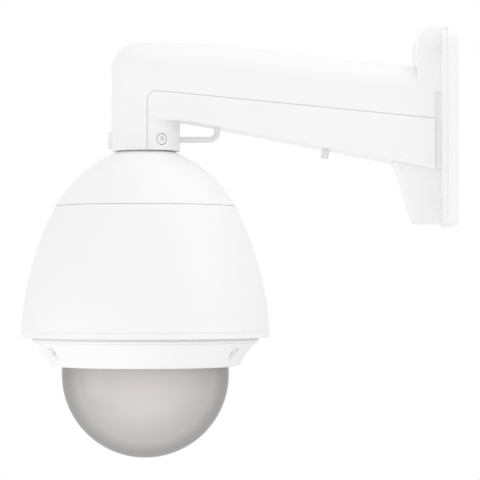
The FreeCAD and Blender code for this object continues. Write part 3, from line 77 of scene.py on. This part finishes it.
world = bpy.data.worlds.new("white_tent")
world.use_nodes = True
tree = world.node_tree
tree.nodes.clear()
seen = seen_as_background(tree)
tent = add(tree, "ShaderNodeBackground", {"Color": linear(WHITE), "Strength": TENT_LIGHT})
white = add(tree, "ShaderNodeBackground", {"Color": linear(WHITE), "Strength": 1.0})
both = add(tree, "ShaderNodeMixShader", {0: seen, 1: tent.outputs[0], 2: white.outputs[0]})
add(tree, "ShaderNodeOutputWorld", {"Surface": both.outputs[0]})
bpy.context.scene.world = world

# The lamps face a point in the upper part of the shield. Each has its place and its size in
# metres, and its power in watts.
LAMP_AIM = Vector((-0.26, 0.0, -0.12))
SOFT_BOXES = {
    "left_soft_box": ((-2.0, -0.55, -0.55), (1.1, 0.8), 4.8),
    "right_soft_box": ((1.3, -0.9, 0.6), (1.1, 0.8), 2.9),
    "overhead_soft_box": ((0.2, -0.5, 1.7), (1.8, 1.4), 7.4),
    "low_soft_box": ((-0.3, -0.8, -1.1), (1.6, 0.5), 2.7),
    "back_soft_box": ((-0.3, 1.9, 0.3), (1.8, 1.2), 3.0),
}

for name, (spot, size, power) in SOFT_BOXES.items():
    lamp = bpy.data.lights.new(name, "AREA")
    lamp.shape = "RECTANGLE"
    lamp.size, lamp.size_y = size
    lamp.energy = power
    box = bpy.data.objects.new(name, lamp)
    box.location = spot
    box.rotation_euler = (LAMP_AIM - Vector(spot)).to_track_quat("-Z", "Y").to_euler()
    box.visible_camera = False
    bpy.context.scene.collection.objects.link(box)


# Floor
# A sheet of white paper on the studio floor, well below the hanging product and curved up
# far behind it. The eye sees it as white; under the product it keeps the product's shadow.
# It is one-sided, so that the product is also seen from below and from behind the paper.
FLOOR_Z = -1.5
PAPER_HALF = 4.8
PAPER_FRONT = -4.6
PAPER_BACK = 4.6
PAPER_BEND = 1.2
PAPER_BEND_STEPS = 24
PAPER_TOP = 4.8
PAPER_WHITE = "#F6F6F6"
SHADOW_MIDDLE = (-0.28, 0.0, 0.0)
SHADOW_NEAR = 0.1
SHADOW_FAR = 2.3
GLOW_NEAR = 0.45
GLOW_FAR = 0.99

paper_line = [(PAPER_FRONT, FLOOR_Z), (PAPER_BACK - PAPER_BEND, FLOOR_Z)]
for step in range(1, PAPER_BEND_STEPS + 1):
    turn = math.radians(90 * step / PAPER_BEND_STEPS)
    paper_line.append((
        PAPER_BACK - PAPER_BEND + PAPER_BEND * math.sin(turn),
        FLOOR_Z + PAPER_BEND - PAPER_BEND * math.cos(turn),
    ))
paper_line.append((PAPER_BACK, PAPER_TOP))
points = [(x, y, z) for y, z in paper_line for x in (-PAPER_HALF, PAPER_HALF)]
faces = [(2 * n, 2 * n + 1, 2 * n + 3, 2 * n + 2) for n in range(len(paper_line) - 1)]
paper_mesh = bpy.data.meshes.new("paper_floor")
paper_mesh.from_pydata(points, [], faces)
paper_mesh.shade_smooth()
paper_floor = bpy.data.objects.new("paper_floor", paper_mesh)
bpy.context.scene.collection.objects.link(paper_floor)

# The share of plain white falls towards the product, where the paper's own shade shows more.
paper = bpy.data.materials.new("matt_white_paper")
paper.use_nodes = True
tree = paper.node_tree
tree.nodes.clear()
seen = seen_as_background(tree)
place = add(tree, "ShaderNodeTexCoord").outputs["Object"]
flat = add(tree, "ShaderNodeVectorMath", {0: place, 1: (1.0, 1.0, 0.0)}, operation="MULTIPLY")
away = add(tree, "ShaderNodeVectorMath", {0: flat.outputs[0], 1: SHADOW_MIDDLE},
           operation="DISTANCE")
fade = add(tree, "ShaderNodeMapRange", {
    "Value": away.outputs["Value"], "From Min": SHADOW_NEAR, "From Max": SHADOW_FAR,
    "To Min": GLOW_NEAR, "To Max": GLOW_FAR,
})
share = add(tree, "ShaderNodeMath", {0: seen, 1: fade.outputs["Result"]}, operation="MULTIPLY")
sheet = add(tree, "ShaderNodeBsdfDiffuse", {"Color": linear(PAPER_WHITE), "Roughness": 0.0})
glow = add(tree, "ShaderNodeEmission", {"Color": linear(WHITE), "Strength": 1.0})
both = add(tree, "ShaderNodeMixShader", {
    0: share.outputs[0], 1: sheet.outputs[0], 2: glow.outputs[0],
})
clear = add(tree, "ShaderNodeBsdfTransparent")
one_sided = add(tree, "ShaderNodeMixShader", {
    0: add(tree, "ShaderNodeNewGeometry").outputs["Backfacing"],
    1: both.outputs[0], 2: clear.outputs[0],
})
add(tree, "ShaderNodeOutputMaterial", {"Surface": one_sided.outputs[0]})
paper_mesh.materials.append(paper)


# Wall arm, its lower cover and the neck
# Sand-cast aluminium, with a turned neck, ground, primed and powder coated in a neutral white.
# The baked powder leaves a fine ripple over the slightly uneven casting, with a satin shine.
def begin(name):
    """New empty material; returns it with its tree and the place on the object in metres."""
    material = bpy.data.materials.new(name)
    material.use_nodes = True
    material.node_tree.nodes.clear()
    place = add(material.node_tree, "ShaderNodeTexCoord").outputs["Object"]
    return material, material.node_tree, place


def dress(material, surface, *nodes):
    """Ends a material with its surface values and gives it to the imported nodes."""
    tree = material.node_tree
    shader = add(tree, "ShaderNodeBsdfPrincipled", surface)
    add(tree, "ShaderNodeOutputMaterial", {"Surface": shader.outputs[0]})
    for node in nodes:
        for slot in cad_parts[node].material_slots:
            slot.material = material


POWDER_WHITE = "#FAFAFA"
POWDER_SHADE = "#F8F8F8"
POWDER_RIPPLE_MM = 2.4
CASTING_WAVE_MM = 38.0

powder_coat, tree, place = begin("powder_coated_cast_aluminium")
ripple = add(tree, "ShaderNodeTexNoise", {
    "Vector": place, "Scale": 1000 / POWDER_RIPPLE_MM, "Detail": 2.0, "Roughness": 0.45,
})
wave = add(tree, "ShaderNodeTexNoise", {
    "Vector": place, "Scale": 1000 / CASTING_WAVE_MM, "Detail": 1.0,
})
tone = add(tree, "ShaderNodeMix", {
    0: wave.outputs["Fac"], 6: linear(POWDER_WHITE), 7: linear(POWDER_SHADE),
}, data_type="RGBA")
gloss = add(tree, "ShaderNodeMapRange", {
    "Value": ripple.outputs["Fac"], "To Min": 0.36, "To Max": 0.48,
})
uneven = add(tree, "ShaderNodeBump", {
    "Height": wave.outputs["Fac"], "Strength": 0.5, "Distance": 0.0004,
})
skin = add(tree, "ShaderNodeBump", {
    "Height": ripple.outputs["Fac"], "Normal": uneven.outputs["Normal"],
    "Strength": 0.35, "Distance": 0.00004,
})
dress(powder_coat, {
    "Base Color": tone.outputs[2],
    "Roughness": gloss.outputs["Result"],
    "Normal": skin.outputs["Normal"],
    "IOR": 1.5,
}, "wall_arm", "arm_cover", "neck_tube")


# Screws that show
# Stainless steel screws with hexagon sockets, blasted and passivated after turning: pale, dull
# and faintly cloudy, so that they nearly vanish in the white shells. The marks of the blast are
# drawn several times coarser than the real ones, so that they break up the shine.
STAINLESS_PALE = "#F3F3F2"
STAINLESS_CLOUD = "#E8E9E9"
BLAST_MM = 0.5
STAIN_MM = 3.0

blasted_stainless, tree, place = begin("blasted_stainless_steel")
stain = add(tree, "ShaderNodeTexNoise", {
    "Vector": place, "Scale": 1000 / STAIN_MM, "Detail": 3.0,
})
blast = add(tree, "ShaderNodeTexNoise", {
    "Vector": place, "Scale": 1000 / BLAST_MM, "Detail": 2.0,
})
tone = add(tree, "ShaderNodeMix", {
    0: stain.outputs["Fac"], 6: linear(STAINLESS_PALE), 7: linear(STAINLESS_CLOUD),
}, data_type="RGBA")
gloss = add(tree, "ShaderNodeMapRange", {
    "Value": stain.outputs["Fac"], "To Min": 0.5, "To Max": 0.64,
})
bump = add(tree, "ShaderNodeBump", {
    "Height": blast.outputs["Fac"], "Strength": 0.25, "Distance": 0.00003,
})
dress(blasted_stainless, {
    "Base Color": tone.outputs[2],
    "Metallic": 0.6,
    "Roughness": gloss.outputs["Result"],
    "Normal": bump.outputs["Normal"],
}, "cover_screw", "neck_lock_screws", "captive_screws")


# Inner screws
# Zinc plated steel screws with hexagon sockets. The plating is a dull, faintly cloudy grey,
# with the grain of the steel under it, drawn coarser than it is.
ZINC_GREY = "#9C9DA0"
ZINC_CLOUD = "#85878B"
CLOUD_MM = 2.5
GRAIN_MM = 0.4

zinc_plate, tree, place = begin("zinc_plated_steel")
cloud = add(tree, "ShaderNodeTexNoise", {
    "Vector": place, "Scale": 1000 / CLOUD_MM, "Detail": 3.0,
})
grain = add(tree, "ShaderNodeTexNoise", {
    "Vector": place, "Scale": 1000 / GRAIN_MM, "Detail": 2.0,
})
tone = add(tree, "ShaderNodeMix", {
    0: cloud.outputs["Fac"], 6: linear(ZINC_GREY), 7: linear(ZINC_CLOUD),
}, data_type="RGBA")
gloss = add(tree, "ShaderNodeMapRange", {
    "Value": cloud.outputs["Fac"], "To Min": 0.28, "To Max": 0.46,
})
bump = add(tree, "ShaderNodeBump", {
    "Height": grain.outputs["Fac"], "Strength": 0.2, "Distance": 0.00003,
})
dress(zinc_plate, {
    "Base Color": tone.outputs[2],
    "Metallic": 0.9,
    "Roughness": gloss.outputs["Result"],
    "Normal": bump.outputs["Normal"],
}, "neck_screws", "shield_screws", "clamp_screws")


# Loop for a safety line
# A bent steel rod, sprayed in a light grey that is a shade darker than the casting, with the
# slight orange peel of a wet paint.
ROD_GREY = "#F6F6F6"
ROD_SHADE = "#F1F1F1"
ROD_PEEL_MM = 1.4

rod_paint, tree, place = begin("painted_steel_rod")
peel = add(tree, "ShaderNodeTexNoise", {
    "Vector": place, "Scale": 1000 / ROD_PEEL_MM, "Detail": 2.0,
})
tone = add(tree, "ShaderNodeMix", {
    0: peel.outputs["Fac"], 6: linear(ROD_GREY), 7: linear(ROD_SHADE),
}, data_type="RGBA")
bump = add(tree, "ShaderNodeBump", {
    "Height": peel.outputs["Fac"], "Strength": 0.3, "Distance": 0.00003,
})
dress(rod_paint, {
    "Base Color": tone.outputs[2],
    "Roughness": 0.34,
    "Normal": bump.outputs["Normal"],
}, "lanyard_loop")


# Top cap, sun shield and trim ring
# Injection moulded ABS in bright white: a satin skin from the spark-eroded mould, drawn
# coarser than it is so that it shows, a faint mottle where the melt cooled, and no paint.
ABS_WHITE = "#FAFAFA"
ABS_MOTTLE = "#F8F8F8"
SPARK_MM = 0.9
MOTTLE_MM = 70.0

moulded_abs, tree, place = begin("moulded_white_abs")
spark = add(tree, "ShaderNodeTexNoise", {
    "Vector": place, "Scale": 1000 / SPARK_MM, "Detail": 3.0, "Roughness": 0.6,
})
mottle = add(tree, "ShaderNodeTexNoise", {
    "Vector": place, "Scale": 1000 / MOTTLE_MM, "Detail": 2.0,
})
tone = add(tree, "ShaderNodeMix", {
    0: mottle.outputs["Fac"], 6: linear(ABS_WHITE), 7: linear(ABS_MOTTLE),
}, data_type="RGBA")
gloss = add(tree, "ShaderNodeMapRange", {
    "Value": spark.outputs["Fac"], "To Min": 0.46, "To Max": 0.58,
})
bump = add(tree, "ShaderNodeBump", {
    "Height": spark.outputs["Fac"], "Strength": 0.18, "Distance": 0.00003,
})
dress(moulded_abs, {
    "Base Color": tone.outputs[2],
    "Roughness": gloss.outputs["Result"],
    "Normal": bump.outputs["Normal"],
    "IOR": 1.53,
}, "top_cap", "sun_shield", "trim_ring")


# Inner can, base plate and heater
# Die-cast aluminium as it leaves the die: pale grey, slightly grainy, with soft flow clouds
# where the metal ran in.
DIE_CAST_GREY = "#B9BABC"
DIE_CAST_FLOW = "#A6A8AB"
FLOW_MM = 26.0
DIE_GRAIN_MM = 0.8

die_cast, tree, place = begin("die_cast_aluminium")
flow = add(tree, "ShaderNodeTexNoise", {
    "Vector": place, "Scale": 1000 / FLOW_MM, "Detail": 4.0, "Distortion": 0.6,
})
grain = add(tree, "ShaderNodeTexNoise", {
    "Vector": place, "Scale": 1000 / DIE_GRAIN_MM, "Detail": 3.0,
})
tone = add(tree, "ShaderNodeMix", {
    0: flow.outputs["Fac"], 6: linear(DIE_CAST_GREY), 7: linear(DIE_CAST_FLOW),
}, data_type="RGBA")
gloss = add(tree, "ShaderNodeMapRange", {
    "Value": flow.outputs["Fac"], "To Min": 0.42, "To Max": 0.6,
})
bump = add(tree, "ShaderNodeBump", {
    "Height": grain.outputs["Fac"], "Strength": 0.35, "Distance": 0.00006,
})
dress(die_cast, {
    "Base Color": tone.outputs[2],
    "Metallic": 0.75,
    "Roughness": gloss.outputs["Result"],
    "Normal": bump.outputs["Normal"],
}, "housing_can", "base_plate", "heater")


# Pillars, bearing, motors, shafts, yoke, cradle and bubble clamp
# Cold-rolled steel, zinc plated after bending or turning; the rolling leaves fine lines
# along it.
SHEET_GREY = "#C3C5C7"
SHEET_DULL = "#AFB1B4"
ROLL_LINE_MM = 0.7
ROLL_STRETCH = (1.0, 1.0, 0.05)

rolled_steel, tree, place = begin("rolled_steel_sheet")
stretch = add(tree, "ShaderNodeMapping", {"Vector": place, "Scale": ROLL_STRETCH})
line = add(tree, "ShaderNodeTexNoise", {
    "Vector": stretch.outputs["Vector"], "Scale": 1000 / ROLL_LINE_MM, "Detail": 3.0,
})
tone = add(tree, "ShaderNodeMix", {
    0: line.outputs["Fac"], 6: linear(SHEET_GREY), 7: linear(SHEET_DULL),
}, data_type="RGBA")
gloss = add(tree, "ShaderNodeMapRange", {
    "Value": line.outputs["Fac"], "To Min": 0.24, "To Max": 0.38,
})
bump = add(tree, "ShaderNodeBump", {
    "Height": line.outputs["Fac"], "Strength": 0.2, "Distance": 0.00002,
})
dress(
    rolled_steel, {
        "Base Color": tone.outputs[2],
        "Metallic": 0.95,
        "Roughness": gloss.outputs["Result"],
        "Normal": bump.outputs["Normal"],
    },
    "base_pillars", "pan_bearing", "pan_motor", "pan_motor_shaft", "tilt_yoke", "tilt_motor",
    "tilt_motor_shaft", "tilt_axles", "tilt_cradle", "bubble_clamp",
)


# Brass posts, bushes and motor pulleys
# Turned brass, bright in the rings that the tool leaves and slightly browned between them.
# The rings are drawn much wider than real ones, so that they show.
BRASS_BRIGHT = "#D6BC7A"
BRASS_DULL = "#B79A58"
TURNING_MM = 3.0
BANDS_AT_ONE = 20 / (2 * math.pi)  # bands to the metre at scale 1

turned_brass, tree, place = begin("turned_brass")
ring_line = add(tree, "ShaderNodeTexWave", {
    "Vector": place, "Scale": 1000 / TURNING_MM / BANDS_AT_ONE, "Distortion": 0.4,
}, bands_direction="Z")
tone = add(tree, "ShaderNodeMix", {
    0: ring_line.outputs["Fac"], 6: linear(BRASS_BRIGHT), 7: linear(BRASS_DULL),
}, data_type="RGBA")
bump = add(tree, "ShaderNodeBump", {
    "Height": ring_line.outputs["Fac"], "Strength": 0.2, "Distance": 0.00002,
})
dress(turned_brass, {
    "Base Color": tone.outputs[2],
    "Metallic": 1.0,
    "Roughness": 0.26,
    "Normal": bump.outputs["Normal"],
}, "board_posts", "tilt_bushes", "pan_motor_pulley", "tilt_motor_pulley")


# Circuit board and terminal block
# Glass-fibre board under green solder mask, and a green block on it. Fine copper tracks show
# as paler lines through the mask.
MASK_GREEN = "#1D5A36"
TRACK_GREEN = "#2F7A4A"
TRACK_MM = 3.0
ROWS_AT_ONE = 4  # rows to the metre at scale 1

solder_mask, tree, place = begin("solder_mask_on_glass_fibre")
track = add(tree, "ShaderNodeTexBrick", {
    "Vector": place, "Scale": 1000 / TRACK_MM / ROWS_AT_ONE, "Mortar Size": 0.035,
    "Color1": linear(MASK_GREEN), "Color2": linear(MASK_GREEN), "Mortar": linear(TRACK_GREEN),
})
bump = add(tree, "ShaderNodeBump", {
    "Height": track.outputs["Fac"], "Strength": 0.3, "Distance": 0.00003,
})
dress(solder_mask, {
    "Base Color": track.outputs["Color"],
    "Roughness": 0.3,
    "Normal": bump.outputs["Normal"],
}, "main_board", "terminal_block")


# Capacitors
# Aluminium cans in heat-shrunk dark blue sleeves, smooth and glossy with a faint mottle from
# the stretch.
SLEEVE_BLUE = "#1C2D52"
SLEEVE_PALE = "#28406E"
SLEEVE_MM = 3.0

shrink_sleeve, tree, place = begin("heat_shrunk_sleeve")
mottle = add(tree, "ShaderNodeTexNoise", {
    "Vector": place, "Scale": 1000 / SLEEVE_MM, "Detail": 2.0,
})
tone = add(tree, "ShaderNodeMix", {
    0: mottle.outputs["Fac"], 6: linear(SLEEVE_BLUE), 7: linear(SLEEVE_PALE),
}, data_type="RGBA")
dress(shrink_sleeve, {"Base Color": tone.outputs[2], "Roughness": 0.2}, "board_capacitors")


# Camera body, lens barrel, turntable, slip ring, fan and tilt pulley
# Glass-filled nylon, moulded in black. The glass leaves a fine grain that breaks up its
# shine, drawn a little coarser than it is.
NYLON_BLACK = "#17181A"
NYLON_GREY = "#232527"
NYLON_GRAIN_MM = 0.9

black_nylon, tree, place = begin("moulded_black_nylon")
grain = add(tree, "ShaderNodeTexNoise", {
    "Vector": place, "Scale": 1000 / NYLON_GRAIN_MM, "Detail": 3.0, "Roughness": 0.6,
})
tone = add(tree, "ShaderNodeMix", {
    0: grain.outputs["Fac"], 6: linear(NYLON_BLACK), 7: linear(NYLON_GREY),
}, data_type="RGBA")
gloss = add(tree, "ShaderNodeMapRange", {
    "Value": grain.outputs["Fac"], "To Min": 0.42, "To Max": 0.62,
})
bump = add(tree, "ShaderNodeBump", {
    "Height": grain.outputs["Fac"], "Strength": 0.4, "Distance": 0.00005,
})
dress(
    black_nylon, {
        "Base Color": tone.outputs[2],
        "Roughness": gloss.outputs["Result"],
        "Normal": bump.outputs["Normal"],
    },
    "camera_block", "lens_barrel", "turntable", "slip_ring", "fan_frame", "fan_rotor",
    "tilt_pulley",
)


# Front lens
# Ground optical glass over the dark barrel. Its coating leaves a faint violet sheen, and a
# trace of haze varies the polish.
GLASS_DARK = "#11121F"
COATING_VIOLET = "#B9A8FF"
HAZE_MM = 8.0

coated_glass, tree, place = begin("coated_optical_glass")
haze = add(tree, "ShaderNodeTexNoise", {
    "Vector": place, "Scale": 1000 / HAZE_MM, "Detail": 1.0,
})
gloss = add(tree, "ShaderNodeMapRange", {
    "Value": haze.outputs["Fac"], "To Min": 0.03, "To Max": 0.06,
})
dress(coated_glass, {
    "Base Color": linear(GLASS_DARK),
    "Roughness": gloss.outputs["Result"],
    "IOR": 1.6,
    "Coat Weight": 0.6,
    "Coat Roughness": 0.03,
    "Coat Tint": linear(COATING_VIOLET),
}, "lens_glass")


# Seals and belts
# Moulded EPDM rubber, dull black, with the dusty bloom that such rubber gets as its wax
# comes out.
RUBBER_BLACK = "#1A1A1A"
RUBBER_BLOOM = "#2B2B2A"
BLOOM_MM = 4.0

moulded_rubber, tree, place = begin("moulded_epdm")
bloom = add(tree, "ShaderNodeTexNoise", {
    "Vector": place, "Scale": 1000 / BLOOM_MM, "Detail": 4.0,
})
tone = add(tree, "ShaderNodeMix", {
    0: bloom.outputs["Fac"], 6: linear(RUBBER_BLACK), 7: linear(RUBBER_BLOOM),
}, data_type="RGBA")
bump = add(tree, "ShaderNodeBump", {
    "Height": bloom.outputs["Fac"], "Strength": 0.2, "Distance": 0.00005,
})
dress(moulded_rubber, {
    "Base Color": tone.outputs[2],
    "Roughness": 0.78,
    "Normal": bump.outputs["Normal"],
}, "can_gasket", "bubble_gasket", "pan_belt", "tilt_belt")


# Bubble
# Blown polycarbonate with a deep smoke tint, polished outside. The shell is drawn opaque. Its
# tint is pale where the eye meets the wall square on and darkens towards the outline. This is
# partly what a tinted wall does at a slant and partly painted shade that rounds the dome. Just
# under the trim ring, painted shade for the ring's shade on the smoke makes it a little darker
# still.
SMOKE_PALE = "#DAD5D4"
SMOKE_MID = "#BEBBBA"
SMOKE_DEEP_AND_PAINTED_SHADE = "#404344"
PAINTED_RIM_SHADE = 0.82
SHADE_LOW_Z = -0.238
SHADE_TOP_Z = -0.2155
BLOWN_WAVE_MM = 45.0

smoked_polycarbonate, tree, place = begin("smoked_polycarbonate")
# Partly painted shade: the colour darkens as the surface slants away from the eye, as a tinted
# wall would, and this shades the opaque dome towards its outline.
slant = add(tree, "ShaderNodeLayerWeight", {"Blend": 0.5})
inner_slant_tint_and_shade = add(tree, "ShaderNodeMapRange", {
    "Value": slant.outputs["Facing"], "From Min": 0.0, "From Max": 0.37,
})
outer_slant_tint_and_shade = add(tree, "ShaderNodeMapRange", {
    "Value": slant.outputs["Facing"], "From Min": 0.42, "From Max": 0.95,
})
tone = add(tree, "ShaderNodeMix", {
    0: inner_slant_tint_and_shade.outputs["Result"], 6: linear(SMOKE_PALE), 7: linear(SMOKE_MID),
}, data_type="RGBA")
tone = add(tree, "ShaderNodeMix", {
    0: outer_slant_tint_and_shade.outputs["Result"], 6: tone.outputs[2], 7: linear(SMOKE_DEEP_AND_PAINTED_SHADE),
}, data_type="RGBA")
# Painted shade: the colour darkens towards the trim ring, from SHADE_LOW_Z up to SHADE_TOP_Z, for
# the ring's shade on the smoke.
height = add(tree, "ShaderNodeSeparateXYZ", {"Vector": place}).outputs["Z"]
painted_rim_shade = add(tree, "ShaderNodeMapRange", {
    "Value": height, "From Min": SHADE_LOW_Z, "From Max": SHADE_TOP_Z,
    "To Min": 1.0, "To Max": PAINTED_RIM_SHADE,
})
tone = add(tree, "ShaderNodeVectorMath", {0: tone.outputs[2], "Scale": painted_rim_shade.outputs["Result"]},
           operation="SCALE")
flow = add(tree, "ShaderNodeTexNoise", {
    "Vector": place, "Scale": 1000 / BLOWN_WAVE_MM, "Detail": 1.0,
})
bump = add(tree, "ShaderNodeBump", {
    "Height": flow.outputs["Fac"], "Strength": 0.15, "Distance": 0.0002,
})
dress(smoked_polycarbonate, {
    "Base Color": tone.outputs[0],
    "Roughness": 0.22,
    "IOR": 1.45,
    "Specular IOR Level": 0.3,
    "Normal": bump.outputs["Normal"],
}, "dome_bubble")
